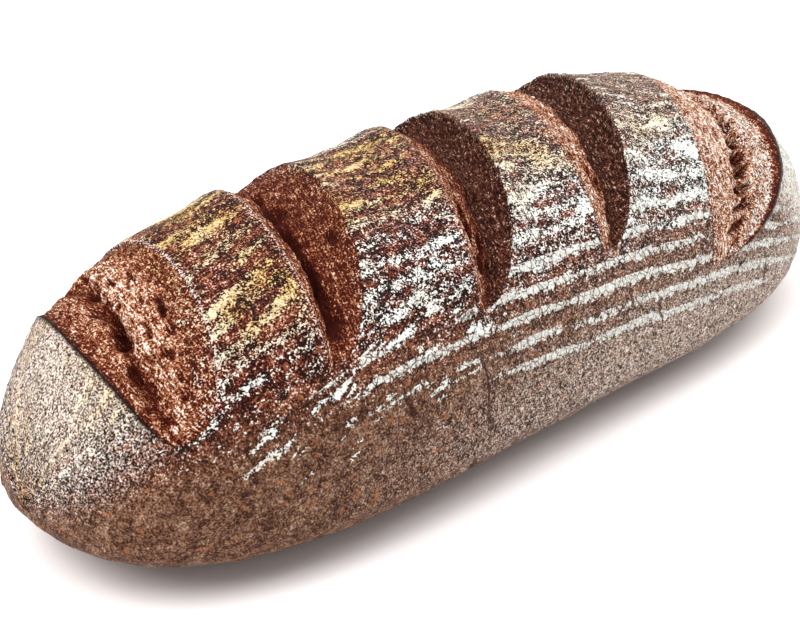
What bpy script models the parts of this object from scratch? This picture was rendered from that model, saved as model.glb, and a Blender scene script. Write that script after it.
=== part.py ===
"""A free-standing rye hearth loaf: one baked body with a flat base and five slashes.

The loaf lies along X and stands on z = 0, with its middle over the origin. Its skin is a
grid: stations from tip to tip, and a ring of points around each one. Angle 0 of a ring is
the front side (-Y) at the belly, 90 degrees is the crest and 180 degrees the back side.
A station's ring isn't square to X: it leans with the slashes, so the cuts follow the grid.
"""
import math

import bmesh
import bpy
import numpy as np

# Whole loaf, in metres
LENGTH = 0.340
WIDTH = 0.1345
HEIGHT = 0.0885

# Cross-section: an oval dome above the belly line, a squarer bowl below it, cut by the base
BELLY_HEIGHT = 0.0240
BELLY_DEPTH = 0.0264
DOME_SQUARENESS = 2.28
BOWL_SQUARENESS = 2.5

# Plan and side outlines: how blunt each end is, and how much wider the +X half is
BLUNT_LEFT = 4.9
BLUNT_RIGHT = 4.0
BLUNT_CREST = 3.9
TAPER = 0.11

# Slashes, from the -X end to the +X end. Each is a straight knife cut that opened, mostly
# towards +X. Lengths are fractions of LENGTH. "at" is where the cut crosses the crest, and
# "lean" how far it runs towards +X from the crest to the back. "left" and "right" are how
# far it opened to each side, and "tips" the ring angles, in degrees, where it ends. "depth"
# is in metres, and "valley" is where the deepest line lies between the -X edge (0) and the
# +X edge (1).
SLASHES = (
    dict(at=-0.395, lean=0.025, left=0.039, right=0.058, tips=(36, 147), depth=0.0060, valley=0.36),
    dict(at=-0.247, lean=0.058, left=0.004, right=0.077, tips=(37, 142), depth=0.0065, valley=0.36),
    dict(at=-0.060, lean=0.093, left=0.000, right=0.082, tips=(34, 143), depth=0.0075, valley=0.60),
    dict(at=0.111, lean=0.100, left=0.006, right=0.094, tips=(35, 144), depth=0.0080, valley=0.68),
    dict(at=0.318, lean=0.150, left=0.000, right=0.115, tips=(18, 130), depth=0.0070, valley=0.52),
)
OPENING_POWER = 0.42
LIP_HEIGHT = 0.0026
LIP_REACH = 0.0095

# Grid
STATIONS = 100
SIDE_STEPS = 36
BASE_STEPS = 5
LARGEST_CONTACT = math.radians(80)
NORMAL_STEP = 1e-4
CONTACT_ROUNDS = 6
ALMOST_ONE = 0.9999
FLAT_LIMIT = 1e-5


def outline(x):
    """Half width, crest height over the belly and bowl depth under it, at x (fraction)."""
    reach = min(abs(2 * x), 1.0)
    blunt = BLUNT_LEFT if x < 0 else BLUNT_RIGHT
    half_width = WIDTH / 2 * math.sqrt(1 - reach ** blunt) * (1 + 2 * TAPER * x)
    side = math.sqrt(1 - reach ** BLUNT_CREST)
    return half_width, (HEIGHT - BELLY_HEIGHT) * side, BELLY_DEPTH * side


def ring_place(station, cosine):
    """Place along the loaf (fraction) of a ring point, from the cosine of its angle.

    The lean is blended between the slashes, and is zero at both tips.
    """
    places = [-0.5] + [slash["at"] for slash in SLASHES] + [0.5]
    leans = [0.0] + [slash["lean"] for slash in SLASHES] + [0.0]
    return station - float(np.interp(station, places, leans)) * cosine


def skin_point(station, angle):
    """Point of the plain, uncut loaf at a station (fraction of length) and a ring angle."""
    cosine = math.cos(angle)
    sine = math.sin(angle)
    x = ring_place(station, cosine)
    half_width, crest, bowl = outline(x)
    power = DOME_SQUARENESS if sine > 0 else BOWL_SQUARENESS
    swell = (abs(cosine) ** power + abs(sine) ** power) ** (-1 / power)
    rise = crest if sine > 0 else bowl
    z = max(BELLY_HEIGHT + rise * swell * sine, 0.0)
    return np.array((x * LENGTH, -half_width * swell * cosine, z))


def skin_normal(station, angle):
    """Outward direction of the plain loaf, from two short steps along the grid."""
    along = skin_point(station + NORMAL_STEP, angle) - skin_point(station - NORMAL_STEP, angle)
    around = skin_point(station, angle + NORMAL_STEP) - skin_point(station, angle - NORMAL_STEP)
    normal = np.cross(along, around)
    return normal / np.linalg.norm(normal)


def slash_opening(slash, angle):
    """Share of its full opening that a slash has at an angle: a blunt lens between its tips."""
    first, last = (math.radians(tip) for tip in slash["tips"])
    reach = (2 * angle - first - last) / (last - first)
    return max(1 - reach ** 2, 0.0) ** OPENING_POWER


def cut_profile(across, valley):
    """Depth share across a slash, from its -X edge (0) to its +X edge (1)."""
    side = (valley - across) / valley if across < valley else (across - valley) / (1 - valley)
    return 0.5 + 0.5 * math.cos(math.pi * side)


def relief(station, angle):
    """Height over the plain loaf: the cuts, and the crust that lifted along their edges."""
    height = 0.0
    for slash in SLASHES:
        opening = slash_opening(slash, angle)
        if opening == 0.0:
            continue
        left = slash["at"] - slash["left"] * opening
        right = slash["at"] + slash["right"] * opening
        if left < station < right:
            across = (station - left) / (right - left)
            height -= slash["depth"] * opening ** 2 * cut_profile(across, slash["valley"])
        to_edge = min(abs(station - left), abs(station - right)) * LENGTH
        height += LIP_HEIGHT * opening ** 2 * math.exp(-(to_edge / LIP_REACH) ** 2)
    return height


def station_places():
    """Station places from tip to tip, closest together at the two rounded ends."""
    steps = np.linspace(-1, 1, STATIONS + 1)[1:-1]
    return 0.5 * np.sin(steps * math.pi / 2)


def contact_angle(station, side):
    """Angle under the belly where the skin meets the ground, on the front (1) or back (-1)."""
    contact = LARGEST_CONTACT
    for _ in range(CONTACT_ROUNDS):
        bowl = outline(ring_place(station, side * math.cos(contact)))[2]
        drop = min(BELLY_HEIGHT / bowl, ALMOST_ONE) ** BOWL_SQUARENESS
        contact = math.atan((drop / (1 - drop)) ** (1 / BOWL_SQUARENESS))
    return min(contact, LARGEST_CONTACT)


def ring_angles(station):
    """Ring angles, with one point of each side exactly where the base starts."""
    front = contact_angle(station, 1)
    back = contact_angle(station, -1)
    sides = np.linspace(-front, math.pi + back, SIDE_STEPS + 1)
    base = np.linspace(math.pi + back, 2 * math.pi - front, BASE_STEPS + 1)
    return list(sides) + list(base[1:-1])


def skin_rings(bm):
    """Rings of vertices of the finished skin, one ring for each station."""
    rings = []
    for station in station_places():
        ring = []
        for angle in ring_angles(station):
            point = skin_point(station, angle)
            height = relief(station, angle)
            if height != 0.0:
                point = point + height * skin_normal(station, angle)
            ring.append(bm.verts.new(point))
        rings.append(ring)
    return rings


def bridge_rings(bm, rings):
    """Quads between neighbouring rings."""
    for left, right in zip(rings, rings[1:]):
        for i in range(len(left)):
            j = (i + 1) % len(left)
            bm.faces.new((left[i], left[j], right[j], right[i]))


def close_tip(bm, ring, x):
    """A fan of triangles from the last ring to the tip of the loaf."""
    tip = bm.verts.new((x, 0.0, BELLY_HEIGHT))
    for i in range(len(ring)):
        bm.faces.new((ring[i], ring[(i + 1) % len(ring)], tip))


def join_base(bm):
    """One flat face where the loaf rests, made from the faces at its lowest height."""
    flat = [face for face in bm.faces if max(vert.co.z for vert in face.verts) < FLAT_LIMIT]
    for face in flat:
        for vert in face.verts:
            vert.co.z = 0.0
    bmesh.ops.dissolve_faces(bm, faces=flat, use_verts=True)


def centre_on_origin(bm):
    """Put the middle of the bounding box over the origin, with the base at z = 0."""
    points = np.array([vert.co for vert in bm.verts])
    middle = (points.min(axis=0) + points.max(axis=0)) / 2
    bmesh.ops.translate(bm, verts=bm.verts, vec=(-middle[0], -middle[1], 0.0))


def crust_material():
    """Dark rye crust: brown, dry and matt."""
    material = bpy.data.materials.new("rye_crust")
    material.use_nodes = True
    shader = material.node_tree.nodes["Principled BSDF"]
    shader.inputs["Base Color"].default_value = (0.115, 0.047, 0.023, 1.0)
    shader.inputs["Roughness"].default_value = 0.72
    shader.inputs["Metallic"].default_value = 0.0
    return material


def make_loaf():
    """The loaf as one closed body."""
    bm = bmesh.new()
    rings = skin_rings(bm)
    bridge_rings(bm, rings)
    close_tip(bm, rings[0], -LENGTH / 2)
    close_tip(bm, rings[-1], LENGTH / 2)
    join_base(bm)
    centre_on_origin(bm)
    bmesh.ops.recalc_face_normals(bm, faces=bm.faces)
    mesh = bpy.data.meshes.new("loaf")
    bm.to_mesh(mesh)
    bm.free()
    mesh.materials.append(crust_material())
    mesh.shade_smooth()
    loaf = bpy.data.objects.new("loaf", mesh)
    bpy.context.scene.collection.objects.link(loaf)


for leftover in list(bpy.data.objects):
    bpy.data.objects.remove(leftover, do_unlink=True)
make_loaf()
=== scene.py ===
import math
from functools import partial

import bpy
import numpy as np
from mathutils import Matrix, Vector


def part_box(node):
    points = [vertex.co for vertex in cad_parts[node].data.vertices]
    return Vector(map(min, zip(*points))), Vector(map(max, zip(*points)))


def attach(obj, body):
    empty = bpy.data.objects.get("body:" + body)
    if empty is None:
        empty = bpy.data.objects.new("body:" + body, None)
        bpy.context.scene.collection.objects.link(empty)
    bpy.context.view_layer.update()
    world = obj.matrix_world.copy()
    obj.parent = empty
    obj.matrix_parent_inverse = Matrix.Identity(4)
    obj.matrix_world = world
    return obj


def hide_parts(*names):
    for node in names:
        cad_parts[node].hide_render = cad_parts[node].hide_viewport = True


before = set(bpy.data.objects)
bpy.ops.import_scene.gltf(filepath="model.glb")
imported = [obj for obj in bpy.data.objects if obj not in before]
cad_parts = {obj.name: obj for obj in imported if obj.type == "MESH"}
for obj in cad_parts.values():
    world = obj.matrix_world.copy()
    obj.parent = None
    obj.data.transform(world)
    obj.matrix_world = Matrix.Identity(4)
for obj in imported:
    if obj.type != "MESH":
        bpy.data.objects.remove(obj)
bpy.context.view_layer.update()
boxLow, boxHigh = (np.array(corner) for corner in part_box("loaf"))
boxSize = boxHigh - boxLow
mm = 0.001

# The plain loaf. Lengths along it are shares of its length, and angles are degrees around
# it: 0 is the front side at the belly, 90 the crest, 180 the back side.
loaf = {
    "length": float(boxSize[0]),
    "width": float(boxSize[1]) * 0.9705,  # at the middle; the +X half is a little wider
    "height": float(boxSize[2]) * 0.9718,  # without the lips along the slashes
    "bellyHeight": float(boxSize[2]) * 0.2635,
    "bellyDepth": float(boxSize[2]) * 0.2899,
    "domeSquareness": 2.28,
    "bowlSquareness": 2.5,
    "bluntLeft": 4.9,
    "bluntRight": 4.0,
    "bluntCrest": 3.9,
    "taper": 0.11,
    "narrowest": 0.10,  # width that a slash keeps at its tips
    "openingPower": 0.42,  # a small power makes a slash a blunt lens
    "lastContact": 80,  # degrees under the belly, where the ends leave the ground
    "contactRounds": 8,
    "almostOne": 0.9999,
    "leastBowl": 1e-6,
    "tinyStep": 2e-4,  # for directions along and around the skin
    "seatedMm": (0.2, 6.0),  # relief fades out over this height above the ground
    "mostGrowth": 1.02,  # of the last fit to the frame's box
}

# The slashes. "left" and "right" are the widest reach to each side of "at"; "lips" (height),
# "reach" and "curl" in mm and "rims" (pale over 0, burnt under 0) are for the -X and the +X
# edge; "wall" is how smooth and dark the +X half is. Rows of "drift", "along" and "floury" are
# (angle, shift in shares of the width), (angle, share of the depth) and (share across, flour).
# A row of "section" is one place across, from the -X edge: (share across, height in mm,
# torn roughness in mm, stretched strands in mm, pale crumb). A row of "pockets" is one hole under
# the crumb: (angle, share across, half length, half width and depth in mm, painted shade in it).
slashes = [{
    "at": -0.395, "lean": 0.025, "left": 0.039, "right": 0.058, "tips": (35.5, 147),
    "drift": [(35, -0.16), (58, -0.14), (74, -0.1), (92, 0)],
    "lips": (1.6, 0.8), "reach": (7, 12), "curl": (0.4, 0.2), "wall": 0, "rims": (-0.9, 0.6),
    "floury": [(0, 0.1), (0.25, 0.2), (0.3, 0), (0.7, 0), (0.85, 0.35), (1, 0.5)],
    "along": [(35, 0.4), (48, 0.6), (62, 0.62), (73, 0.5), (79, 0.9), (102, 1), (112, 0.7),
              (147, 0.5)],
    "section": [
        (0, 1.6, 0, 0, 0.15), (0.03, 0.4, 0.1, 0.3, 0.3), (0.1, -0.6, 0.2, 0.7, 0.55),
        (0.2, -1.4, 0.3, 0.7, 0.68), (0.27, -2.4, 0.4, 0.3, 0.6), (0.32, -5.6, 0.4, 0.1, 0.15),
        (0.37, -6.4, 0.5, 0.1, 0.2), (0.42, -3.6, 0.8, 0.1, 0.8), (0.52, -1.4, 0.9, 0.1, 1),
        (0.66, -0.8, 0.9, 0.3, 0.88), (0.8, -1.2, 0.6, 0.6, 0.56), (0.91, -0.4, 0.2, 0.7, 0.46),
        (1, 0.8, 0, 0.3, 0.55),
    ],
    "pockets": [
        (112, 0.42, 4, 1.8, 3, 1), (103, 0.4, 2.2, 1.8, 3, 1), (95, 0.345, 3.2, 1.5, 4, 1),
        (88, 0.335, 4, 1.7, 4, 1), (81, 0.33, 4, 1.8, 4, 1), (66, 0.31, 5, 1.5, 3, 1),
        (58, 0.45, 12, 5, 2.6, 0.25), (45, 0.44, 3, 2, 2, 0.8), (79, 0.78, 3.4, 1.2, 2.6, 1),
        (70, 0.79, 1.8, 1.3, 1.8, 0.8), (99, 0.68, 3.5, 0.8, 2.2, 1), (105, 0.55, 3, 0.8, 1.6, 1),
        (88, 0.62, 1.4, 0.8, 1.5, 0.9), (74, 0.6, 2.6, 0.8, 1.6, 0.9), (63, 0.7, 2.2, 1, 1.8, 0.9),
        (55, 0.72, 2, 0.8, 1.4, 0.9), (125, 0.5, 6, 2.4, 3, 1), (134, 0.4, 4, 2.2, 2.5, 1),
    ],
}, {
    "at": -0.247, "lean": 0.058, "left": 0.004, "right": 0.077, "tips": (37, 142),
    "lips": (2.2, 1.2), "reach": (9, 12), "curl": (0.5, -0.3), "wall": 0.15, "rims": (0.6, 0),
    "floury": [(0, 0.3), (0.1, 0.1), (0.2, 0), (0.8, 0), (0.95, 0.3), (1, 0.3)],
    "along": [(37, 0.6), (50, 0.8), (62, 1), (100, 1), (142, 0.7)],
    "section": [
        (0, 2.2, 0, 0.1, 0.45), (0.04, 0.9, 0, 0.4, 0.55), (0.12, -0.6, 0.2, 0.6, 0.55),
        (0.2, -2.6, 0.4, 0.4, 0.4), (0.26, -7.2, 0.6, 0.2, 0.05), (0.34, -8.4, 0.7, 0.1, 0.1),
        (0.44, -6.6, 0.8, 0.1, 0.3), (0.6, -5.2, 0.6, 0.2, 0.32), (0.76, -3.4, 0.3, 0.5, 0.3),
        (0.9, -1, 0.1, 0.5, 0.38), (1, 1.2, 0, 0.1, 0.35),
    ],
    "pockets": [
        (82, 0.3, 9, 3, 2.5, 1), (66, 0.32, 8, 2.6, 3, 1), (55, 0.34, 7, 3, 3, 1),
        (47, 0.45, 4, 3.5, 3.5, 1), (72, 0.8, 3, 2, 2.5, 1), (97, 0.42, 4, 3, 3, 1),
        (112, 0.35, 6, 3, 3, 1), (128, 0.4, 5, 3, 2.5, 1),
    ],
}, {
    "at": -0.06, "lean": 0.093, "left": 0, "right": 0.082, "tips": (34, 143),
    "lips": (3.2, 2), "reach": (13, 8), "curl": (0.2, -1), "wall": 0.9, "rims": (0.25, -0.2),
    "floury": [(0, 0.4), (0.12, 0.2), (0.3, 0), (0.9, 0), (0.97, 0.15), (1, 0.2)],
    "along": [(34, 0.7), (50, 0.9), (60, 1), (100, 1), (143, 0.8)],
    "section": [
        (0, 3.2, 0, 0.1, 0.6), (0.05, 2.2, 0, 0.5, 0.7), (0.16, 0.2, 0.2, 0.8, 0.62),
        (0.28, -2.4, 0.4, 0.8, 0.48), (0.44, -5.2, 0.5, 0.5, 0.22), (0.6, -7.6, 0.4, 0.2, 0.05),
        (0.72, -8.4, 0.2, 0.1, 0.06), (0.83, -7, 0.1, 0.1, 0.1), (0.91, -4.2, 0, 0.1, 0.12),
        (0.97, -0.4, 0, 0.1, 0.14), (1, 2, 0, 0, 0.2),
    ],
    "pockets": [
        (60, 0.2, 9, 2, 3, 1), (67, 0.62, 6, 3, 2, 1), (46, 0.3, 3, 2, 2.5, 1),
        (44, 0.58, 3, 2.5, 3.5, 1), (51, 0.42, 4, 2, 2, 1), (104, 0.55, 7, 3, 2, 1),
        (124, 0.45, 5, 3, 2.5, 1),
    ],
}, {
    "at": 0.111, "lean": 0.1, "left": 0.006, "right": 0.094, "tips": (35, 144),
    "lips": (2, 2.4), "reach": (10, 9), "curl": (0.2, -1.2), "wall": 1, "rims": (0.15, -0.2),
    "floury": [(0, 0.5), (0.12, 0.3), (0.3, 0), (0.9, 0), (0.97, 0.15), (1, 0.2)],
    "along": [(35, 0.7), (50, 0.85), (60, 1), (100, 1), (144, 0.8)],
    "section": [
        (0, 2, 0, 0.1, 0.65), (0.05, 1.2, 0.1, 0.6, 0.85), (0.18, -0.2, 0.4, 0.9, 0.92),
        (0.32, -2, 0.7, 0.9, 0.86), (0.46, -4.4, 0.7, 0.6, 0.62), (0.57, -7.2, 0.3, 0.2, 0.12),
        (0.68, -9.2, 0.1, 0.1, 0.06), (0.8, -8.2, 0, 0.1, 0.1), (0.9, -5, 0, 0.1, 0.12),
        (0.97, -0.4, 0, 0, 0.14), (1, 2.4, 0, 0, 0.2),
    ],
    "pockets": [
        (65, 0.1, 2, 1.8, 2.5, 1), (58, 0.28, 4, 2, 2.2, 1), (54, 0.42, 3, 2.5, 2.2, 1),
        (84, 0.6, 4, 2.5, 2, 1), (74, 0.56, 2.5, 2, 2, 1), (62, 0.5, 3, 1.8, 1.6, 1),
        (45, 0.5, 3, 2, 2, 1), (108, 0.5, 5, 3, 2.5, 1),
    ],
}, {
    "at": 0.318, "lean": 0.15, "left": 0, "right": 0.115, "tips": (18, 130),
    "lips": (0.4, 1.8), "reach": (14, 5), "curl": (0, 0.3), "wall": 0, "rims": (0, -1),
    "floury": [(0, 0.6), (0.15, 0.4), (0.3, 0.15), (0.5, 0), (0.6, 0.4), (0.7, 0.75), (0.9, 0.8),
               (0.94, 0)],
    "along": [(18, 0.7), (30, 0.9), (40, 1), (90, 1), (130, 0.7)],
    "section": [
        (0, 0.4, 0, 0.1, 0.85), (0.12, -0.2, 0.2, 0.4, 1), (0.26, -1, 0.4, 0.4, 1.12),
        (0.38, -2.4, 0.7, 0.3, 1.15), (0.47, -4.2, 0.8, 0.2, 0.85), (0.56, -4.4, 0.8, 0.2, 0.85),
        (0.66, -3, 0.4, 0.6, 1.05), (0.8, -2.6, 0.1, 0.7, 1.15), (0.91, -1.6, 0, 0.6, 1),
        (0.945, 0.4, 0, 0.1, 0.05), (0.975, 1.6, 0, 0.1, 0.02), (1, 1.8, 0, 0, 0.02),
    ],
    "pockets": [
        (69, 0.6, 3.8, 3.2, 3.5, 1), (60, 0.56, 3.8, 4.6, 5.5, 1), (52, 0.52, 2.8, 5, 5.5, 1),
        (46, 0.5, 2.2, 4.2, 5, 1), (41, 0.49, 1.9, 4.6, 5, 1), (36, 0.47, 1.7, 4, 5, 1),
        (31, 0.46, 1.5, 3.6, 4.5, 1), (26, 0.42, 1.6, 3.4, 4, 1), (56, 0.3, 1.8, 1.2, 1.8, 1),
        (47, 0.24, 1.2, 1, 1.4, 1), (79, 0.58, 3, 3, 3.5, 1), (90, 0.5, 4, 3, 4, 1),
        (103, 0.55, 4, 3, 3.5, 1), (116, 0.5, 3, 2.5, 3, 1),
    ],
}]

# Grid: columns run around the loaf and follow the slashes, rows run along it
grid = {
    "slashColumns": (52, 44, 48, 54, 66),
    "crustColumns": (52, 16, 26, 30, 36, 44),  # before, between and after the slashes
    "skinRows": 203,
    "baseRows": 8,
    "topRowWeight": 1.5,  # rows lie closer together on the upper side than at the belly
    "topRows": (0.14, 0.24),  # shares of the way over the skin between which that sets in
    "waySamples": 2001,
    "firstSpacing": 1.8,  # powers that bring the columns closer at both ends
    "lastSpacing": 1.9,
}


def scramble(i, j, k, seed):
    # integer lattice point -> share 0..1, the same every run: multiply, xor, shift
    h = (i * 73856093) ^ (j * 19349663) ^ (k * 83492791) ^ (seed * 2654435)
    h = h & 0xFFFFFFFF
    h = ((h ^ (h >> 15)) * 2246822519) & 0xFFFFFFFF
    h = ((h ^ (h >> 13)) * 3266489917) & 0xFFFFFFFF
    return ((h ^ (h >> 16)) & 0xFFFFFF) / float(0xFFFFFF)


noiseGain = 1.7  # brings the sum of slopes to about -1..1


def waves(points, size, seed=0):
    # smooth noise, about -1..1: random heights on a lattice of the given size (mm), with
    # random slopes, blended by the fifth-power fade curve
    p = points / size
    cell = np.floor(p).astype(np.int64)
    f = p - cell
    fade = f * f * f * (f * (f * 6 - 15) + 10)
    total = np.zeros(p.shape[:-1])
    for corner in range(8):
        hop = np.array([corner & 1, (corner >> 1) & 1, corner >> 2])
        i, j, k = (cell[..., n] + hop[n] for n in range(3))
        slope = [scramble(i, j, k, seed * 7 + n) * 2 - 1 for n in range(3)]
        value = sum(slope[n] * (f[..., n] - hop[n]) for n in range(3))
        weight = np.prod(np.where(hop == 1, fade, 1 - fade), axis=-1)
        total += weight * value
    return total * noiseGain


def rough(points, size, octaves, seed=0):
    # noise on noise: each octave is half as large and half as high as the one before
    total = 0.0
    for n in range(octaves):
        total = total + waves(points, size / 2 ** n, seed + n) / 2 ** n
    return total / (2 - 2 / 2 ** octaves)


def cells(points, size, seed=0):
    # distance to the nearest of one random point per lattice cell (shares of the size),
    # and that point's own random share
    p = points / size
    cell = np.floor(p).astype(np.int64)
    nearest = np.full(p.shape[:-1], np.inf)
    own = np.zeros(p.shape[:-1])
    for n in range(27):  # the lattice cell and its neighbours
        hop = np.array([n % 3 - 1, (n // 3) % 3 - 1, n // 9 - 1])
        i, j, k = (cell[..., m] + hop[m] for m in range(3))
        point = [cell[..., m] + hop[m] + scramble(i, j, k, seed * 5 + m) for m in range(3)]
        distance = np.sqrt(sum((p[..., m] - point[m]) ** 2 for m in range(3)))
        closer = distance < nearest
        nearest = np.where(closer, distance, nearest)
        own = np.where(closer, scramble(i, j, k, seed * 5 + 3), own)
    return nearest, own


def step(value, low, high):
    # 0 under low, 1 over high, eased between
    t = np.clip((value - low) / (high - low), 0, 1)
    return t * t * (3 - 2 * t)


def leanAt(station):
    # how far a ring's front runs ahead of its back: straight lines between the slashes' leans
    places = [-0.5] + [slash["at"] for slash in slashes] + [0.5]
    return np.interp(station, places, [0] + [slash["lean"] for slash in slashes] + [0])


def plainPoint(station, angle):
    # ring at x = station - lean * cos(angle); its section is a superellipse dome over the
    # belly line and a shallower bowl under it, cut flat at z = 0; both shrink to the ends
    cosine, sine = np.cos(angle), np.sin(angle)
    x = station - leanAt(station) * cosine
    reach = np.minimum(np.abs(2 * x), 1)
    plan = np.sqrt(1 - reach ** np.where(x < 0, loaf["bluntLeft"], loaf["bluntRight"]))
    side = np.sqrt(1 - reach ** loaf["bluntCrest"])
    power = np.where(sine > 0, loaf["domeSquareness"], loaf["bowlSquareness"])
    swell = (np.abs(cosine) ** power + np.abs(sine) ** power) ** (-1 / power)
    rise = np.where(sine > 0, loaf["height"] - loaf["bellyHeight"], loaf["bellyDepth"])
    y = -loaf["width"] / 2 * plan * (1 + 2 * loaf["taper"] * x) * swell * cosine
    z = np.maximum(loaf["bellyHeight"] + rise * side * swell * sine, 0)
    return np.stack([x * loaf["length"], y, z], axis=-1)


def contactAngle(station, side):
    # where the bowl reaches the ground: tan(angle)^n = d^n / (1 - d^n), d = belly / bowl
    power = loaf["bowlSquareness"]
    last = math.radians(loaf["lastContact"])
    contact = np.full(station.shape, last)
    for _ in range(loaf["contactRounds"]):
        x = station - side * leanAt(station) * np.cos(contact)
        bowl = loaf["bellyDepth"] * np.sqrt(1 - np.minimum(np.abs(2 * x), 1) ** loaf["bluntCrest"])
        depth = loaf["bellyHeight"] / np.maximum(bowl, loaf["leastBowl"])
        drop = np.minimum(depth, loaf["almostOne"]) ** power
        contact = np.minimum(np.arctan((drop / (1 - drop)) ** (1 / power)), last)
    return contact


def opening(slash, angle):
    # a slash's width as a share of its widest, (1 - t^2)^p with t from -1 to 1 between its tips
    first, last = (math.radians(tip) for tip in slash["tips"])
    reach = (2 * angle - first - last) / (last - first)
    return np.clip(1 - reach ** 2, 0, 1) ** loaf["openingPower"]


def columnKnots(angle):
    # both edges of each slash at an angle, between the two ends of the loaf
    knots = [np.full(angle.shape, -0.5)]
    for slash in slashes:
        share = np.maximum(opening(slash, angle), loaf["narrowest"])
        knots += [slash["at"] - slash["left"] * share, slash["at"] + slash["right"] * share]
    return knots + [np.full(angle.shape, 0.5)]


def columnPlaces():
    # for each column, the stretch between two knots that it lies in, and its share of it
    stretch, share = [], []
    last = 2 * len(slashes)
    for n in range(last + 1):
        columns = grid["slashColumns"] if n % 2 == 1 else grid["crustColumns"]
        count = columns[n // 2]
        t = np.arange(count) / count
        if n == 0:
            t = ((np.arange(count) + 1) / count) ** grid["firstSpacing"] * (1 - 0.5 / count)
        if n == last:
            t = 1 - (1 - t) ** grid["lastSpacing"]
        stretch.append(np.full(count, n))
        share.append(t)
    return np.concatenate(stretch), np.concatenate(share)


def rowShares():
    # shares 0..1 of the way over the skin, with more rows on the upper side
    t = np.linspace(0, 1, grid["waySamples"])
    weight = 1 + (grid["topRowWeight"] - 1) * step(0.5 - np.abs(t - 0.5), *grid["topRows"])
    way = np.concatenate([[0], np.cumsum((weight[1:] + weight[:-1]) / 2)])
    return np.interp(np.linspace(0, way[-1], grid["skinRows"] + 1), way, t)


def ringAngles(station):
    # one column of angles per station: over the skin from ground to ground, then back
    # under the base
    front, back = contactAngle(station, 1), contactAngle(station, -1)
    over = -front + rowShares()[:, None] * (math.pi + front + back)
    t = (np.arange(grid["baseRows"] - 1) + 1)[:, None] / grid["baseRows"]
    under = math.pi + back + t * (math.pi - front - back)
    return np.concatenate([over, under])


def between(table, item, share):
    # straight lines through a table whose rows start with their place
    return np.interp(share, [row[0] for row in table], [row[item] for row in table])


# Torn crumb, in mm unless a note says otherwise. Its noises' seeds go up by one per slash.
crumb = {
    "wideBend": (0.05, 17, 60),  # share of the width, size, seed
    "tightBend": (0.025, 6, 70),
    "bendFade": 0.2,  # share of the width over which the bends set in at an edge
    "threads": [(1, 1.3, 13, 80), (0.5, 0.9, 5, 90)],  # gain, size across, size along, seed
    "threadDown": 30,
    "threadHeight": 0.75,
    "rags": (1.5, 3.4, 3, 100),  # gain, size, octaves, seed
    "ridges": (0.8, 2.8, 110),  # gain, size, seed
    "leastTorn": 0.15,
    "pits": (1.5, 3.4, 0.45, 120),  # depth, spacing, share of the spots that have one, seed
    "pitEdge": (0.40, 0.22),  # in spacings: half width and slope
    # painted shade: how much darker a pit is drawn
    "pitShade": 0.6,
    "pocketWobble": (0.30, 3.1, 130),  # gain, size, seed
    "pocketEdge": (1.2, 0.5),
    # painted shade: how much darker a pocket is drawn
    "pocketShade": 0.6,
    "pocketRim": (0.35, 1.35, 0.22),  # height, place and width in pocket widths
    "mmPerDegree": 1.12,  # of way around the loaf
    "deepPower": 1.2,  # a slash gets shallower towards its tips as its opening to this power
    "unevenLips": (0.25, 14, 140),  # gain, size, seed
    "curlReach": (0.8, 3.5),  # inside and outside the edge
    "rimWidth": 0.6,
    "rimFade": 1.6,
    "leastOpening": 0.02,
    "openFrom": (0.05, 0.3),  # opening between which the crust turns to crumb
    "deepShade": (5.0, 9.0, 0.6),
    "wallFrom": (0.5, 0.62),  # share across
}


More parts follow.
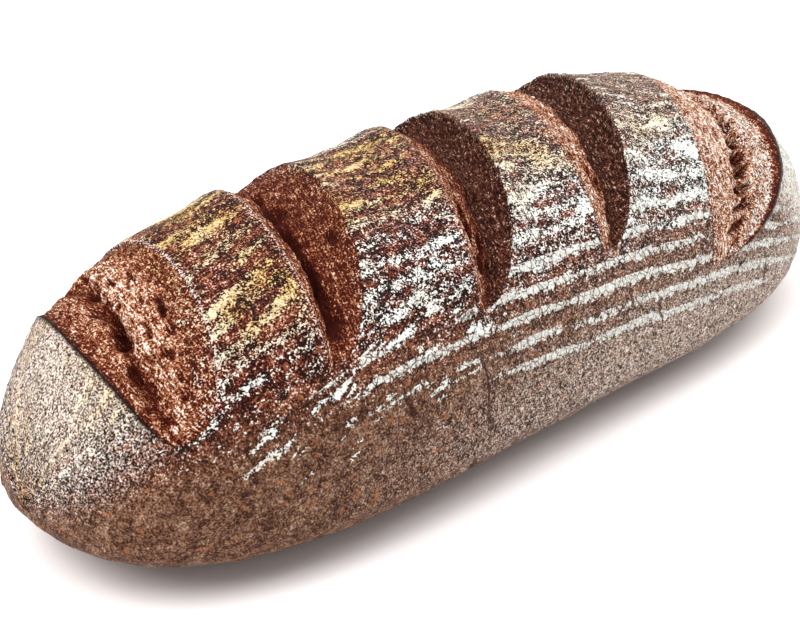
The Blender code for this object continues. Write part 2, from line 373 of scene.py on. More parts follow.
def slashRelief(index, slash, g, across, inside, relief):
    # inside: height = section(place) + strands * threads + torn * (rags + ridges) - pits -
    # pockets, where place is the share across, bent to and fro; outside: the edges' lips,
    # lip * exp(-(distance / reach)^2); both shrink with the opening towards the slash's tips
    station, angle, spot, alongMm = g["station"], g["angle"], g["spot"], g["aroundMm"]

    def noise(name):
        # gain * waves, other ones in each slash
        gain, size, seed = crumb[name]
        return gain * waves(spot, size, seed + index)

    degrees = np.degrees(angle)
    share = opening(slash, angle)
    deep = share ** crumb["deepPower"]
    left = slash["at"] - slash["left"] * share
    right = slash["at"] + slash["right"] * share
    wide = (slash["left"] + slash["right"]) * np.maximum(share, loaf["narrowest"])
    wideMm = wide * loaf["length"] / mm
    acrossMm = across * wideMm

    fade = crumb["bendFade"]
    bend = noise("wideBend") + noise("tightBend")
    drift = np.interp(degrees, *zip(*slash.get("drift", [(0, 0)])))
    place = across + (bend - drift) * step(across, 0, fade) * step(1 - across, 0, fade)
    place = np.clip(place, 0, 1)
    height, torn, strand, pale = (between(slash["section"], item, place) for item in range(1, 5))
    height = np.where(height < 0, height * np.interp(degrees, *zip(*slash["along"])), height)
    threads = 0.0
    for gain, acrossSize, alongSize, seed in crumb["threads"]:
        flow = [acrossMm / acrossSize, alongMm / alongSize, spot[..., 2] / crumb["threadDown"]]
        threads = threads + gain * waves(np.stack(flow, axis=-1), 1, seed + index)
    gain, size, octaves, seed = crumb["rags"]
    rags = gain * rough(spot, size, octaves, seed + index)
    gain, size, seed = crumb["ridges"]
    rags = rags + gain * (1 - 2 * np.abs(waves(spot, size, seed + index)))
    height = height + strand * crumb["threadHeight"] * threads + (torn + crumb["leastTorn"]) * rags
    depth, spacing, often, seed = crumb["pits"]
    hole, own = cells(spot, spacing, seed + index)
    pits = (own < often) * step(crumb["pitEdge"][0] - hole, 0, crumb["pitEdge"][1])
    height = height - pits * torn * depth

    # painted shade in the pits and, below, in the pockets
    hollowShade = pits * np.minimum(torn, 1) * crumb["pitShade"]
    wobble = noise("pocketWobble")
    rimHeight, rimAt, rimWidth = crumb["pocketRim"]
    for pocketAngle, pocketAcross, halfLong, halfWide, depth, shadeShare in slash["pockets"]:
        alongAway = (degrees - pocketAngle) * crumb["mmPerDegree"] / halfLong
        acrossAway = (across - drift - pocketAcross) * wideMm / halfWide
        away = np.sqrt(alongAway ** 2 + acrossAway ** 2) + wobble
        pocket = step(crumb["pocketEdge"][0] - away, 0, crumb["pocketEdge"][1])
        height = height - depth * pocket
        hollowShade = np.maximum(hollowShade, crumb["pocketShade"] * pocket * shadeShare)
        height = height + rimHeight * np.exp(-((away - rimAt) / rimWidth) ** 2) * torn
    relief["height"] += np.where(inside, height * deep, 0)

    # each edge has a lip and curls over the cut: a sideways shift that dies out with distance
    lips = curl = rims = 0
    reachIn, reachOut = crumb["curlReach"]
    leftMm = (left - station) * loaf["length"] / mm
    rightMm = (station - right) * loaf["length"] / mm
    for n, (outMm, inMm) in enumerate([(leftMm, acrossMm), (rightMm, wideMm - acrossMm)]):
        outside = outMm >= 0
        lips = lips + slash["lips"][n] * np.exp(-(outMm / slash["reach"][n]) ** 2) * outside
        near = np.exp(-np.abs(outMm) / reachOut) * outside
        curl = curl + slash["curl"][n] * np.where(inside, np.exp(-inMm / reachIn), near)
        rims = rims + slash["rims"][n] * np.exp(-np.abs(outMm) / crumb["rimWidth"])
    relief["height"] += np.where(inside, 0, lips * deep * (1 + noise("unevenLips")))
    relief["sideways"] += deep * curl
    relief["rim"] += rims * np.minimum(share * crumb["rimFade"], 1)

    # what the crumb looks like; its hollows get painted shade: darker in the pits, the pockets
    # and where it lies deep
    firstShade, lastShade, shade = crumb["deepShade"]
    floury = np.interp(place, *zip(*slash["floury"])) * (1 - hollowShade)
    looks = {
        "open": step(share, *crumb["openFrom"]), "pale": pale, "floury": floury,
        "hollowShade": np.maximum(hollowShade, step(-height, firstShade, lastShade) * shade),
        "wall": slash["wall"] * step(place, *crumb["wallFrom"]),
    }
    opened = inside & (share > crumb["leastOpening"])
    for key, values in looks.items():
        relief[key] = np.where(opened, values, relief[key])
    relief["across"] = np.where(inside, acrossMm, relief["across"])


# The closed crust, in mm unless a note says otherwise.
crust = {
    "swells": [(0.9, 42, 2, 1), (0.35, 13, 2, 3)],  # height, size, octaves, seed
    "gooseSkin": [(0.13, 4.0, 5), (0.07, 2.2, 6)],  # height, size, seed
    # height, spacing, share of the spots that have one, half width, slope, seed
    "spots": [(0.5, 8.5, 0.22, 0.24, 0.14, 7), (-0.5, 6.0, 0.16, 0.20, 0.12, 9)],
    "swellInCrumb": 0.3,
    "lowUp": (16, 44),  # degrees up the side over which the brown side turns to the red top
    "ringSpacing": 7.5,  # the basket's cane
    "ringHeight": 0.30,
    "ringStart": 37.4,  # way up the side to one ring
    "ringTilt": 0.075,  # rise per mm along the loaf
    # drop, the x where it is reached, its power, and the power of its growth over the crest
    "ringDroop": [(16, -130, 4, 1), (10, 115, 3, 0.5)],
    "crestDroop": (2.0, 2.5),  # that growth, and how closely it keeps to the crest
    "ringWander": (0.10, 19, 11),  # share of the spacing, size, seed
}


def crustRelief(g, relief):
    # height = swells + goose skin + blisters - dents + ring height * (1 + cos(2 pi turn)) / 2;
    # turn counts the rings up the side, which rise along the loaf and droop at its ends
    angle, spot, degrees = g["angle"], g["spot"], np.degrees(g["angle"])
    swell = sum(gain * rough(spot, *noise) for gain, *noise in crust["swells"])
    skin = sum(gain * waves(spot, *noise) for gain, *noise in crust["gooseSkin"])
    for height, spacing, often, halfWidth, slope, seed in crust["spots"]:
        away, own = cells(spot, spacing, seed)
        skin = skin + height * (own < often) * step(halfWidth - away, 0, slope)

    lengthMm = g["place"] * loaf["length"] / mm
    gain, power = crust["crestDroop"]
    over = 1 + gain * np.clip(np.sin(angle), 0, 1) ** power
    climb = g["aroundMm"] + crust["ringTilt"] * lengthMm
    for drop, place, power, overPower in crust["ringDroop"]:
        climb = climb + drop * over ** overPower * np.maximum(lengthMm / place, 0) ** power
    gain, size, seed = crust["ringWander"]
    turn = (climb - crust["ringStart"]) / crust["ringSpacing"] + gain * waves(spot, size, seed)
    ring = 0.5 + 0.5 * np.cos(2 * math.pi * turn)
    relief.update(turn=turn, climb=climb, ring=ring, degrees=degrees)
    skin = swell + skin + crust["ringHeight"] * ring
    inSlash = relief["open"]
    relief["height"] += skin * (1 - inSlash) + crust["swellInCrumb"] * swell * inSlash


def makeLoafGrid():
    # station = straight line between the two knots of a column's stretch, at each angle; the
    # normal is the cross product of the directions along and around the plain loaf
    stretch, share = columnPlaces()
    knots = np.array([knot[0] for knot in columnKnots(np.array([-math.pi / 2]))])
    start = knots[stretch] * (1 - share) + knots[stretch + 1] * share
    angle = ringAngles(start)
    knotStations = np.stack(columnKnots(angle), axis=-1)
    columns = np.arange(len(stretch))
    low = knotStations[:, columns, stretch]
    high = knotStations[:, columns, stretch + 1]
    station = low * (1 - share) + high * share

    plain = plainPoint(station, angle)
    tiny = loaf["tinyStep"]
    along = plainPoint(station + tiny, angle) - plainPoint(station - tiny, angle)
    around = plainPoint(station, angle + tiny) - plainPoint(station, angle - tiny)
    along /= np.linalg.norm(along, axis=-1, keepdims=True)
    around /= np.linalg.norm(around, axis=-1, keepdims=True)
    normal = np.cross(along, around)
    normal /= np.linalg.norm(normal, axis=-1, keepdims=True)

    spot = plain / mm
    stepMm = np.linalg.norm(np.diff(spot[..., 1:], axis=0), axis=-1)
    wayMm = np.concatenate([np.zeros((1, spot.shape[1])), np.cumsum(stepMm, axis=0)])
    belly = np.argmin(np.abs(angle), axis=0)
    aroundMm = wayMm - wayMm[belly, columns]
    aroundMm = np.minimum(aroundMm, wayMm[grid["skinRows"]] - wayMm[belly, columns])
    return {
        "stretch": stretch, "share": share, "angle": angle, "station": station,
        "plain": plain, "along": along, "normal": normal, "spot": spot, "aroundMm": aroundMm,
        "place": plain[..., 0] / loaf["length"],
    }


def shapeLoaf(g):
    # point = plain point + normal * height + a sideways shift along the loaf
    shape = g["angle"].shape
    keys = ("height", "sideways", "open", "pale", "hollowShade", "wall", "floury", "rim", "across")
    relief = {key: np.zeros(shape) for key in keys}
    for n, slash in enumerate(slashes):
        inside = np.broadcast_to(g["stretch"] == 2 * n + 1, shape)
        across = np.broadcast_to(g["share"], shape)
        slashRelief(n, slash, g, across, inside, relief)
    crustRelief(g, relief)

    # nothing grows out of the base
    height = relief["height"] * step(g["spot"][..., 2], *loaf["seatedMm"])
    points = g["plain"] + g["normal"] * height[..., None] * mm
    points = points + g["along"] * relief["sideways"][..., None] * mm
    points[..., 2] = np.maximum(points[..., 2], 0)
    return points, relief


def fitToBox(points):
    # the finished skin takes exactly the CAD solid's room, by a scale close to one
    low, high = points.min(axis=(0, 1)), points.max(axis=(0, 1))
    scale = np.minimum(boxSize / (high - low), loaf["mostGrowth"])
    middle = (low + high) / 2
    fitted = (points - middle) * scale
    fitted[..., :2] += ((boxLow + boxHigh) / 2)[:2]
    fitted[..., 2] -= fitted[..., 2].min()
    print("skin scaled to the frame by", np.round(scale, 4))
    return fitted


# Flour. Amounts are shares of 1 and may go below 0, where only the coarsest grain shows.
# x runs from -1 to 1 along the loaf, and "up" is degrees from the belly line on either side.
flour = {
    "stretch": (0.30, 1, 0.1),  # of the streaks: along the loaf, up its side, across it
    "breakStretch": (1.6, 1, 1),
    # size in mm, octaves, seed
    "patches": (22, 3, 31),
    "streaks": (4.6, 3, 35),
    "clumps": (5, 2, 37),
    "flakes": (3.125, 2, 39),
    "breaks": (10, 3, 41),
    # where an edge starts and ends; an end given as a pair shifts with x
    "edges": {
        "upper": ((28, -4), (50, -6)), "shoulder": (56, 84), "clumps": (0.20, 0.38),
        "clumpsUp": (18, 40), "side": (10, 38), "flakes": (0.26, 0.34), "flakesUp": (2, 13),
        "flakesOff": (34, 46), "flakesLeft": (0.1, 0.3), "flakesStart": (-0.86, -0.72),
        "left": (0.2, 0.5), "fewRings": (-0.5, 0.1), "rightShoulder": (-0.45, 0.0),
        "leftCap": (1.09, 1.36), "leftCapStation": (0.70, 0.80), "rightCap": (0.79, 0.89),
        # the veil's edges: thin flour with a painted sheen, low on the side towards +X
        "flourAndSheenRight": (-0.9, 0.3), "flourAndSheenHeight": (-6, 24), "flourAndSheenUp": (4, 22),
        "ringUp": ((7, -19), (13, -18)), "ringOff": (38, 56), "ringStart": (-0.97, -0.72),
        "ringRight": (-0.4, 0.1), "ringWhole": (-0.55, -0.15), "ringThin": (0.2, 0.5),
        "yellow": (38, 64), "whiter": (-0.62, -0.40), "lessYellow": (-0.3, 0.6),
    },
    "dust": {
        "all": 0.14, "left": 0.10, "right": 0.10, "patches": 0.30, "streaks": 0.62,
        "rings": 0.40, "fewRings": 0.26, "shoulder": 0.08, "rightShoulder": 0.16,
        "clumps": 0.36, "side": 0.52, "flakes": 0.95, "lost": 0.46, "inSlash": 0.50,
    },
    "capRise": (0.006, 0.004),  # how the left and the right cap's edge shift per mm of height
    "capMiddle": 40,  # mm
    # on the -X cap the veil is flour and a painted sheen that lightens its upper side
    "leftCap": {"all": 0.60, "patches": 0.36, "flourAndSheen": 0.78},
    "rightCap": {"all": 0.90, "patches": 0.35, "rings": 0.34, "flourAndSheen": 0.84},
    "capLost": 0.44,
    # the veil: thin even flour all over, and a painted sheen low on the side towards +X
    "flourAndSheen": {"all": 0.04, "right": 0.33, "lessUp": 0.62},
    "ring": {"all": 0.02, "whole": 0.24, "thin": 0.10, "broken": 1.45, "most": 1.10},
    "ringAlong": (0.80, 0.20),
    "whiter": 14,  # degrees by which the yellow starts higher up, but not near the -X end
    "yellow": {"all": 0.95, "less": 0.50, "patches": 0.7, "capLess": 0.5},
}


def flourMaps(g, relief):
    # dust = upper side * (all over + patches + streaks + rings) + shoulder + clumps + side +
    # flakes - lost, and more on both caps; ring = reach up the side * reach along the loaf *
    # broken noise; yellow = upper side, less towards +X, + patches; veil = even thin dust, and
    # also a painted sheen on the -X cap's upper side and low on the side towards +X
    x = g["place"] * 2
    z = g["spot"][..., 2]
    up = np.minimum(relief["degrees"], 180 - relief["degrees"])
    wave = relief["ring"] - 0.5
    closed = 1 - relief["open"]

    def edge(name, value):
        # eased step between the named edge's two ends
        ends = flour["edges"][name]
        return step(value, *(end if np.isscalar(end) else end[0] + end[1] * x for end in ends))

    flow = [g["spot"][..., 0], relief["climb"], g["spot"][..., 1]]
    flow = np.stack(flow, axis=-1) * np.array(flour["stretch"])
    patches = rough(g["spot"], *flour["patches"])
    streaks = rough(flow, *flour["streaks"])
    clumps = edge("clumps", rough(flow, *flour["clumps"]))
    flakes = edge("flakes", rough(flow, *flour["flakes"]))
    broken = 0.5 + 0.5 * rough(flow * np.array(flour["breakStretch"]), *flour["breaks"])

    leftRise, rightRise = flour["capRise"]
    leftCap = edge("leftCap", leftRise * z - x) * edge("leftCapStation", -2 * g["station"])
    rightCap = edge("rightCap", 2 * g["station"] + rightRise * (z - flour["capMiddle"]))

    gain = flour["dust"]
    upper = edge("upper", up)
    dust = gain["all"] + gain["left"] * edge("left", -x) + gain["right"] * x
    dust = dust + gain["patches"] * patches + gain["streaks"] * streaks
    dust = dust + (gain["rings"] - gain["fewRings"] * edge("fewRings", x)) * wave
    shoulder = gain["shoulder"] + gain["rightShoulder"] * edge("rightShoulder", x)
    dust = upper * (dust + shoulder * (1 - edge("shoulder", up)))
    dust = dust + gain["clumps"] * clumps * edge("clumpsUp", up) + gain["side"] * edge("side", up)
    flakes = flakes * edge("flakesLeft", -x) * edge("flakesStart", x)
    flakes = flakes * edge("flakesUp", up) * (1 - edge("flakesOff", up))
    dust = dust + gain["flakes"] * flakes - gain["lost"]
    left, right = flour["leftCap"], flour["rightCap"]
    leftDust = leftCap * (left["all"] + left["patches"] * patches)
    rightDust = rightCap * (right["all"] + right["patches"] * patches + right["rings"] * wave)
    dust = np.maximum(dust, np.maximum(leftDust, rightDust) - flour["capLost"])
    dust = dust * closed + relief["floury"] * gain["inSlash"]

    # the veil: thin even flour, plus a painted sheen on the -X cap and low on the +X side
    gain = flour["flourAndSheen"]
    flourAndSheen = gain["right"] * edge("flourAndSheenRight", x) * edge("flourAndSheenHeight", z)
    flourAndSheen = gain["all"] + flourAndSheen * (1 - gain["lessUp"] * edge("flourAndSheenUp", up))
    flourAndSheen = np.maximum(flourAndSheen, np.maximum(left["flourAndSheen"] * leftCap, right["flourAndSheen"] * rightCap))

    gain = flour["ring"]
    ring = gain["all"] + gain["whole"] * edge("ringWhole", x) - gain["thin"] * edge("ringThin", x)
    ring = np.clip(ring + gain["broken"] * broken, 0, gain["most"]) * closed
    fromLeft, more = flour["ringAlong"]
    ring = ring * (fromLeft * edge("ringStart", x) + more * edge("ringRight", x))
    ring = ring * edge("ringUp", up) * (1 - edge("ringOff", up))

    gain = flour["yellow"]
    yellow = edge("yellow", up - flour["whiter"] * edge("whiter", x))
    yellow = yellow * (gain["all"] - gain["less"] * edge("lessYellow", x))
    yellow = np.clip(yellow + gain["patches"] * patches, 0, 1)
    yellow = yellow * (1 - gain["capLess"] * leftCap) * (1 - rightCap)
    fields = {"dust": dust, "ring": ring, "yellow": yellow, "flourAndSheen": flourAndSheen}
    return {name: np.clip(field, -0.5, 1) for name, field in fields.items()}


def meshFromGrid(name, points, tips, layers):
    # a closed tube of quads around the loaf, with a fan of triangles at each end; layers
    # are numbers per point, kept as attributes for the material
    rows, columns = points.shape[:2]
    index = np.arange(rows * columns).reshape(rows, columns)
    nextRow = np.roll(index, -1, axis=0)
    quads = np.stack([index[:, :-1], index[:, 1:], nextRow[:, 1:], nextRow[:, :-1]], axis=-1)
    quads = quads.reshape(-1, 4)
    leftTip, rightTip = rows * columns, rows * columns + 1
    ring = np.arange(rows)
    leftFan = np.stack([index[ring, 0], nextRow[ring, 0], np.full(rows, leftTip)], axis=-1)
    rightFan = np.stack([nextRow[ring, -1], index[ring, -1], np.full(rows, rightTip)], axis=-1)
    verts = np.concatenate([points.reshape(-1, 3), tips])

    mesh = bpy.data.meshes.new(name)
    mesh.vertices.add(len(verts))
    mesh.vertices.foreach_set("co", verts.astype(np.float32).ravel())
    corners = np.concatenate([quads.ravel(), leftFan.ravel(), rightFan.ravel()]).astype(np.int32)
    sizes = np.concatenate([np.full(len(quads), 4), np.full(2 * rows, 3)])
    starts = np.concatenate([[0], np.cumsum(sizes)[:-1]]).astype(np.int32)
    mesh.loops.add(len(corners))
    mesh.loops.foreach_set("vertex_index", corners)
    mesh.polygons.add(len(sizes))
    mesh.polygons.foreach_set("loop_start", starts)
    mesh.update(calc_edges=True)
    mesh.validate()
    for key, values in layers.items():
        layer = mesh.attributes.new(key, "FLOAT", "POINT")
        flat = np.concatenate([values.ravel(), [values[:, 0].mean(), values[:, -1].mean()]])
        layer.data.foreach_set("value", flat.astype(np.float32))
    mesh.shade_smooth()
    piece = bpy.data.objects.new(name, mesh)
    bpy.context.scene.collection.objects.link(piece)
    return piece


def linear(hexColour):
    # sRGB hex to linear light, by the standard's own curve
    parts = [int(hexColour[n:n + 2], 16) / 255 for n in (1, 3, 5)]
    curve = [c / 12.92 if c <= 0.04045 else ((c + 0.055) / 1.055) ** 2.4 for c in parts]
    return (*curve, 1.0)


def addNode(tree, kind, inputs=(), out=0, colours=(), **settings):
    # adds one node with its settings, its inputs (values or other nodes' outputs, in order
    # or by name) and, on a colour ramp, evenly spaced colours; gives one of its outputs
    node = tree.nodes.new("ShaderNode" + kind)
    for key, value in settings.items():
        setattr(node, key, value)
    for key, value in inputs.items() if isinstance(inputs, dict) else enumerate(inputs):
        if isinstance(value, bpy.types.NodeSocket):
            tree.links.new(value, node.inputs[key])
        else:
            node.inputs[key].default_value = value
    for n, colour in enumerate(colours):
        place = n / (len(colours) - 1)
        stops = node.color_ramp.elements
        stop = stops[n] if n < 2 else stops.new(place)
        stop.position, stop.color = place, linear(colour)
    return node.outputs[out]


# Rye crust: starch and flour baked dark. The eye gets a dry, grainy, nearly matt brown,
# redder and darker on top, greyer and evenly speckled low on the side; torn crumb in the
# slashes, pale where it burst late and dark where it opened early; rye flour lying on it,
# white where thick and ochre where it toasted. Some light is painted in: glints in the top's
# lightest grain, a sheen in the thin veil of flour, and shade in the crumb's hollows.
crustLook = {
    # from the darkest grain to the lightest
    # the top's lightest grain is partly painted glints: white specks of highlight on dark crust
    "topCrust": ["#120403", "#34110a", "#682a17", "#975d42", "#e0cfc0"],
    "sideCrust": ["#25140c", "#45291c", "#684837", "#876a56", "#a8937f"],
    "crumb": ["#360d06", "#582513", "#8b5033", "#c29879", "#ece8e0"],
    "wall": ["#0c0403", "#2a1009", "#4d281b", "#7b5643", "#cbb9ab"],
    "flourWhite": ["#77726b", "#b0b0a9", "#cccec7", "#e1e4de", "#f2f4f0"],
    "flourOchre": ["#3c210d", "#735024", "#a57f45", "#c4a56c", "#dfcb9f"],
    # colours of the veil, flour and a painted sheen
    "flourAndSheen": ["#54301f", "#9c7b64", "#d6cbbc", "#f4efe7", "#ffffff"],
    "rimPale": "#e2cbbe",
    "rimDark": "#1b0b07",
    "bran": "#a5623a",
    "meal": "#a37a52",
    # size in mm, detail, roughness; real flour is finer and is drawn coarser, so that it shows
    "noises": {
        "fine": (0.58, 2, 0.45), "mid": (1.7, 3, 0.65), "big": (5.0, 3, 0.5),
        "bran": (2.8, 1, 0.5), "meal": (1.5, 1, 0.4), "bend": (9, 3, 0.6),
    },
    "threadMm": (0.6, 3.6),  # across and along a slash
    "threadDetail": 2,
    "cakeMm": 2.6,  # caked flour breaks into bits of this size
    # a tone's start, and how much each noise swings it
    "topTone": (0.32, {"fine": 2.6, "mid": 1.8, "big": 1.2}),
    "sideTone": (0.42, {"fine": 1.7, "mid": 1.2, "big": 0.9}),
    "crumbTone": (-0.02, {"thread": 1.7, "fine": 2.3, "mid": 0.9, "big": 0.7}),
    "wallTone": (0.34, {"thread": 1.6, "fine": 1.9, "mid": 0.8}),
    "flourAndSheenSwing": {"fine": 1.5, "mid": 0.8},
    "flourAndSheenTone": {"fine": 2.0, "mid": 1.0},
    "coverSwing": {"mid": 1.9, "fine": 2.1},
    "waveSwing": {"mid": 0.45},
    "stripSwing": {"mid": 1.8, "fine": 0.7},
    "flourTone": {"fine": 1.6, "mid": 1.0},
    "rimSwing": {"fine": 3.0, "mid": 1.0},
    "burntSwing": {"fine": 0.5},
    "palerCrumb": 0.60,
    # painted shade: how far the hollows' painted shade darkens the crumb's tone
    "hollowShadeDarkening": -0.8,
    "stripWave": 0.75,
    "stripRing": 1.5,
    "flourMost": 0.93,
    # a value from the first number to the second gives 0 to 1, or the third to the fourth
    "ranges": {
        "bran": (0.66, 0.71, 0, 0.45), "meal": (0.62, 0.70, 0, 0.35),
        "haze": (0.10, 0.95, 0, 0.94), "hazeStart": (0.04, 0.22),
        "hazeTone": (0.72, 1.0, 0.48, 0.76), "flouryCrumb": (0, 0.3),
        "cover": (0.38, 0.64), "strip": (1.60, 1.76), "cake": (0.01, 0.08),
        "flourTone": (0.4, 1.0, 0.50, 0.78), "rimPale": (0.45, 0.80, 0, 0.85),
        "rimStart": (0.03, 0.15), "rimDark": (-0.15, -0.60, 0, 0.9),
        "roughness": (0, 1, 0.52, 0.8),
    },
    "ior": 1.45,
    "specular": 0.08,
    "bump": 0.7,
    "bumpMm": 1.0,
    # heights, as shares of bumpMm
    "fineHeight": 0.5,
    "midHeight": 0.9,
    "flourHeight": 0.3,
    "threadHeight": 0.8,
}

# Hairline cracks that run down the side from under the cuts: the skin gave way there. In mm.
cracks = {
    "at": [(-80, 38, 54), (-50, 22, 50), (-55, 6, 20), (30, 30, 44), (92, 22, 40)],  # x, z, to z
    "halfWidth": 0.34,
    "softWidth": 2.2,  # half widths over which a crack's side fades
    "strength": 0.85,
    "wander": 8.0,
    "fade": 4,  # at both ends
    "frontY": (-10, -20),
    "gaps": (0.34, 0.44),  # of the mid noise
    "colour": "#2f0d08",
}


def cracksOver(add, coords, noise, bend, colour):
    # share = strength where |x - place - wander * bend| is under the half width, times a fade
    # at both heights, the front side and the gaps
    axes = add("SeparateXYZ", [coords]).node.outputs
    width = cracks["halfWidth"] * mm
    front = add("MapRange", [axes["Y"], *(y * mm for y in cracks["frontY"])])
    gaps = add("MapRange", [noise, *cracks["gaps"]])
    for x, low, high in cracks["at"]:
        away = add("Math", [axes["X"], x * mm], operation="SUBTRACT")
        away = add("Math", [bend, -cracks["wander"] * mm, away], operation="MULTIPLY_ADD")
        away = add("Math", [away], operation="ABSOLUTE")
        inputs = [away, width, width * cracks["softWidth"], cracks["strength"], 0]
        share = add("MapRange", inputs)
        fade = cracks["fade"]
        lowEnd = add("MapRange", [axes["Z"], low * mm, (low + fade) * mm])
        highEnd = add("MapRange", [axes["Z"], high * mm, (high - fade) * mm])
        for factor in (lowEnd, highEnd, gaps, front):
            share = add("Math", [share, factor], operation="MULTIPLY")
        coat = linear(cracks["colour"])
        colour = add("Mix", {0: share, 6: colour, 7: coat}, 2, data_type="RGBA")
    return colour


def ryeCrust(fieldNames):
    # colour = a row of colours read at a tone; tone = start + sum of gain * (noise - 0.5)
    look, ranges = crustLook, crustLook["ranges"]
    material = bpy.data.materials.new("ryeCrust")
    material.use_nodes = True
    tree = material.node_tree
    shader = tree.nodes["Principled BSDF"]
    add = partial(addNode, tree)
    coords = add("TexCoord", out="Object")
    field = {}
    for name in fieldNames:
        field[name] = add("Attribute", out="Fac", attribute_name=name)
    inside, flourAndSheen, rim = field["open"], field["flourAndSheen"], field["rim"]

    noise = {}
    for name, (size, detail, roughness) in look["noises"].items():
        inputs = {"Vector": coords, "Scale": 1 / (size * mm), "Detail": detail}
        inputs["Roughness"] = roughness
        noise[name] = add("TexNoise", inputs)
    acrossMm, alongMm = look["threadMm"]
    across = add("Math", [field["across"], acrossMm], operation="DIVIDE")
    way = add("Math", [field["way"], alongMm], operation="DIVIDE")
    place = add("CombineXYZ", [across, way, 0])
    inputs = {"Vector": place, "Scale": 1, "Detail": look["threadDetail"]}
    noise["thread"] = add("TexNoise", inputs)
    swing = {}
    for name, value in noise.items():
        swing[name] = add("Math", [value, 0.5], operation="SUBTRACT")

    def uneven(start, gains):
        # start + sum of gain * (noise - 0.5)
        for name, gain in gains.items():
            start = add("Math", [swing[name], gain, start], operation="MULTIPLY_ADD")
        return start

    # closed crust, dark and red on top, brown and speckled low down
    top = add("ValToRGB", [uneven(*look["topTone"])], colours=look["topCrust"])
    side = add("ValToRGB", [uneven(*look["sideTone"])], colours=look["sideCrust"])
    skin = add("Mix", {0: field["low"], 6: top, 7: side}, 2, data_type="RGBA")

    # over it flecks of bran, flecks of meal low down, and a thin even veil of flour, which is
    # also a painted sheen on the -X cap and low on the side towards +X
    bran = add("MapRange", [noise["bran"], *ranges["bran"]])
    meal = add("MapRange", [noise["meal"], *ranges["meal"]])
    meal = add("Math", [meal, field["low"]], operation="MULTIPLY")
    haze = add("MapRange", [uneven(flourAndSheen, look["flourAndSheenSwing"]), *ranges["haze"]])
    start = add("MapRange", [flourAndSheen, *ranges["hazeStart"]])
    haze = add("Math", [haze, start], operation="MULTIPLY")
    tone = add("MapRange", [flourAndSheen, *ranges["hazeTone"]])
    hazeColour = add("ValToRGB", [uneven(tone, look["flourAndSheenTone"])], colours=look["flourAndSheen"])
    coats = [(bran, linear(look["bran"])), (meal, linear(look["meal"])), (haze, hazeColour)]
    for share, coat in coats:
        skin = add("Mix", {0: share, 6: skin, 7: coat}, 2, data_type="RGBA")

    # torn crumb of the slashes, and their smooth dark walls
    start, gains = look["crumbTone"]
    # paler where the crumb is pale, darker by the painted shade in its hollows
    for name, gain in (("pale", look["palerCrumb"]), ("hollowShade", look["hollowShadeDarkening"])):
        start = add("Math", [field[name], gain, start], operation="MULTIPLY_ADD")
    tone = uneven(start, gains)
    torn = add("ValToRGB", [tone], colours=look["crumb"])
    wall = add("ValToRGB", [uneven(*look["wallTone"])], colours=look["wall"])
    torn = add("Mix", {0: field["wall"], 6: torn, 7: wall}, 2, data_type="RGBA")
    bread = add("Mix", {0: inside, 6: skin, 7: torn}, 2, data_type="RGBA")

    # flour: separate grains where thin and a cover where thick
    floury = add("MapRange", [field["floury"], *ranges["flouryCrumb"]])
    closed = add("Math", [1, inside], operation="SUBTRACT")
    closed = add("Math", [closed, floury], operation="MAXIMUM")
    cover = uneven(field["dust"], look["coverSwing"])
    cover = add("MapRange", [cover, *ranges["cover"]])

    # caked strips where the basket's cane pressed: cos(2 pi turn) * wave + ring, over a limit
    turn = uneven(field["turn"], look["waveSwing"])
    turn = add("Math", [turn, 2 * math.pi], operation="MULTIPLY")
    wave = add("Math", [turn], operation="COSINE")
    ring = add("Math", [field["ring"], look["stripRing"]], operation="MULTIPLY")
    strip = add("Math", [wave, look["stripWave"], ring], operation="MULTIPLY_ADD")
    strip = add("MapRange", [uneven(strip, look["stripSwing"]), *ranges["strip"]])
    inputs = {"Vector": coords, "Scale": 1 / (look["cakeMm"] * mm)}
    cake = add("TexVoronoi", inputs, "Distance", feature="DISTANCE_TO_EDGE")
    cake = add("MapRange", [cake, *ranges["cake"]])
    strip = add("Math", [strip, cake], operation="MULTIPLY")
    flourShare = add("Math", [cover, strip], operation="MAXIMUM")
    flourShare = add("Math", [flourShare, closed], operation="MULTIPLY")

    # it is ochre where it toasted, but white in the strips
    tone = add("MapRange", [field["dust"], *ranges["flourTone"]])
    tone = uneven(tone, look["flourTone"])
    white = add("ValToRGB", [tone], colours=look["flourWhite"])
    ochre = add("ValToRGB", [tone], colours=look["flourOchre"])
    bare = add("Math", [1, strip], operation="SUBTRACT")
    toasted = add("Math", [field["yellow"], bare], operation="MULTIPLY")
    flourColour = add("Mix", {0: toasted, 6: white, 7: ochre}, 2, data_type="RGBA")
    share = add("Math", [flourShare, look["flourMost"]], operation="MULTIPLY")
    colour = add("Mix", {0: share, 6: bread, 7: flourColour}, 2, data_type="RGBA")
    cracked = cracksOver(add, coords, noise["mid"], swing["bend"], colour)
    colour = add("Mix", {0: inside, 6: cracked, 7: colour}, 2, data_type="RGBA")

    # slash rims: a thin pale line of dried crumb, or a burnt one
    pale = add("MapRange", [uneven(rim, look["rimSwing"]), *ranges["rimPale"]])
    start = add("MapRange", [rim, *ranges["rimStart"]])
    pale = add("Math", [pale, start], operation="MULTIPLY")
    burnt = add("MapRange", [uneven(rim, look["burntSwing"]), *ranges["rimDark"]])
    for share, coat in ((pale, look["rimPale"]), (burnt, look["rimDark"])):
        colour = add("Mix", {0: share, 6: colour, 7: linear(coat)}, 2, data_type="RGBA")
    tree.links.new(colour, shader.inputs["Base Color"])

    # matt where there is flour or crumb, a little sheen on the bare crust
    shader.inputs["IOR"].default_value = look["ior"]
    shader.inputs["Specular IOR Level"].default_value = look["specular"]
    matt = add("Math", [flourShare, inside], operation="MAXIMUM")
    matt = add("MapRange", [matt, *ranges["roughness"]])
    tree.links.new(matt, shader.inputs["Roughness"])

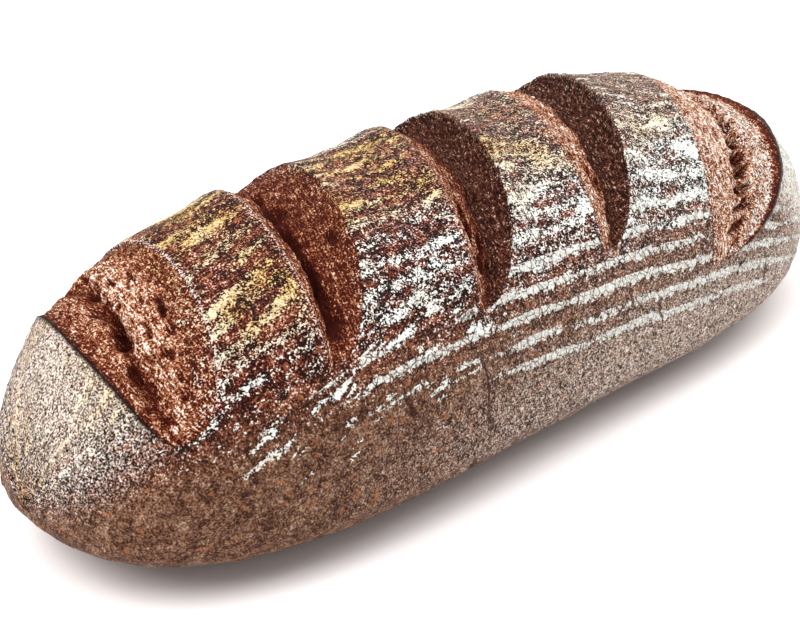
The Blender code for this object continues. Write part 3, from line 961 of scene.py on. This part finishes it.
    # grain that stands up, with the flour and the slashes' threads on it
    threads = add("Math", [noise["thread"], inside], operation="MULTIPLY")
    height = 0
    for value, gain in ((noise["fine"], look["fineHeight"]), (noise["mid"], look["midHeight"]),
                        (flourShare, look["flourHeight"]), (threads, look["threadHeight"])):
        height = add("Math", [value, gain, height], operation="MULTIPLY_ADD")
    inputs = {"Height": height, "Strength": look["bump"], "Distance": look["bumpMm"] * mm}
    normal = add("Bump", inputs)
    tree.links.new(normal, shader.inputs["Normal"])
    return material


g = makeLoafGrid()
points, relief = shapeLoaf(g)
points = fitToBox(points)
print("loaf skin shaped:", points.shape)
keys = ("open", "pale", "hollowShade", "wall", "rim", "floury", "turn", "across")
fields = {key: relief[key] for key in keys}
fields["way"] = g["aroundMm"]
up = np.minimum(relief["degrees"], 180 - relief["degrees"])
fields["low"] = 1 - step(up, *crust["lowUp"])
fields.update(flourMaps(g, relief))
print("flour laid out")
middleY = (boxLow[1] + boxHigh[1]) / 2
tips = np.array([[x, middleY, loaf["bellyHeight"]] for x in (boxLow[0], boxHigh[0])])
loafSkin = meshFromGrid("loaf_skin", points, tips, fields)
loafSkin.data.materials.append(ryeCrust(fields))
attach(loafSkin, "root")
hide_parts("loaf")
print("loaf skin has", len(loafSkin.data.polygons), "faces")


# The stage: a white floor, three soft lights and the camera. Angles in degrees, from the
# front towards +X and up; lengths in metres unless a note says otherwise.
studio = {
    "floorColour": "#f7f2f1",
    "floorRoughness": 0.9,
    "floorHalfSize": 6.0,
    "worldColour": "#ffffff",
    "worldStrength": 0.62,
    "lights": {  # azimuth, elevation, distance, size, power in watts
        "topLight": (160, 84, 1.3, 2.4, 24),
        "leftLight": (-100, 50, 1.4, 0.9, 13),
        "rightFill": (80, 34, 1.5, 1.2, 10),
    },
    "lightAim": (0, 0, 0.04),
    "cameraAzimuth": -44.0,
    "cameraElevation": 28.8,
    "cameraDistance": 1.355,  # in loaf lengths
    "cameraAim": (-0.0753, 0.0, 0.0846),  # in loaf lengths
    "lensMm": 61.0,
    "sensorMm": 36,
    "clipStart": 0.01,
}


def towards(azimuth, elevation):
    # direction (sin a cos e, -cos a cos e, sin e)
    a, e = math.radians(azimuth), math.radians(elevation)
    return Vector((math.sin(a) * math.cos(e), -math.cos(a) * math.cos(e), math.sin(e)))


def makeFloor():
    # one square face at z = 0
    mesh = bpy.data.meshes.new("studio_floor")
    s = studio["floorHalfSize"]
    mesh.from_pydata([(-s, -s, 0), (s, -s, 0), (s, s, 0), (-s, s, 0)], [], [(0, 1, 2, 3)])
    floor = bpy.data.objects.new("studio_floor", mesh)
    bpy.context.scene.collection.objects.link(floor)
    material = bpy.data.materials.new("paperFloor")
    material.use_nodes = True
    shader = material.node_tree.nodes["Principled BSDF"]
    shader.inputs["Base Color"].default_value = linear(studio["floorColour"])
    shader.inputs["Roughness"].default_value = studio["floorRoughness"]
    mesh.materials.append(material)


def softLight(name, azimuth, elevation, distance, size, power):
    # a round lamp at distance * direction, turned to the loaf
    lamp = bpy.data.lights.new(name, "AREA")
    lamp.shape = "DISK"
    lamp.size = size
    lamp.energy = power
    light = bpy.data.objects.new(name, lamp)
    light.location = distance * towards(azimuth, elevation)
    aim = Vector(studio["lightAim"])
    light.rotation_euler = (aim - light.location).to_track_quat("-Z", "Y").to_euler()
    bpy.context.scene.collection.objects.link(light)


def makeCamera():
    # at aim + distance * direction, both in loaf lengths
    camera = bpy.data.objects.new("camera", bpy.data.cameras.new("camera"))
    camera.data.lens = studio["lensMm"]
    camera.data.sensor_width = studio["sensorMm"]
    camera.data.clip_start = studio["clipStart"]
    aim = Vector(studio["cameraAim"]) * loaf["length"]
    away = towards(studio["cameraAzimuth"], studio["cameraElevation"])
    camera.location = aim + studio["cameraDistance"] * loaf["length"] * away
    camera.rotation_euler = (aim - camera.location).to_track_quat("-Z", "Y").to_euler()
    bpy.context.scene.collection.objects.link(camera)
    bpy.context.scene.camera = camera


makeFloor()
for name, values in studio["lights"].items():
    softLight(name, *values)
makeCamera()
world = bpy.data.worlds.new("studio")
world.use_nodes = True
background = world.node_tree.nodes["Background"]
background.inputs["Color"].default_value = linear(studio["worldColour"])
background.inputs["Strength"].default_value = studio["worldStrength"]
bpy.context.scene.world = world
bpy.context.scene.view_settings.view_transform = "Standard"
print("studio ready")
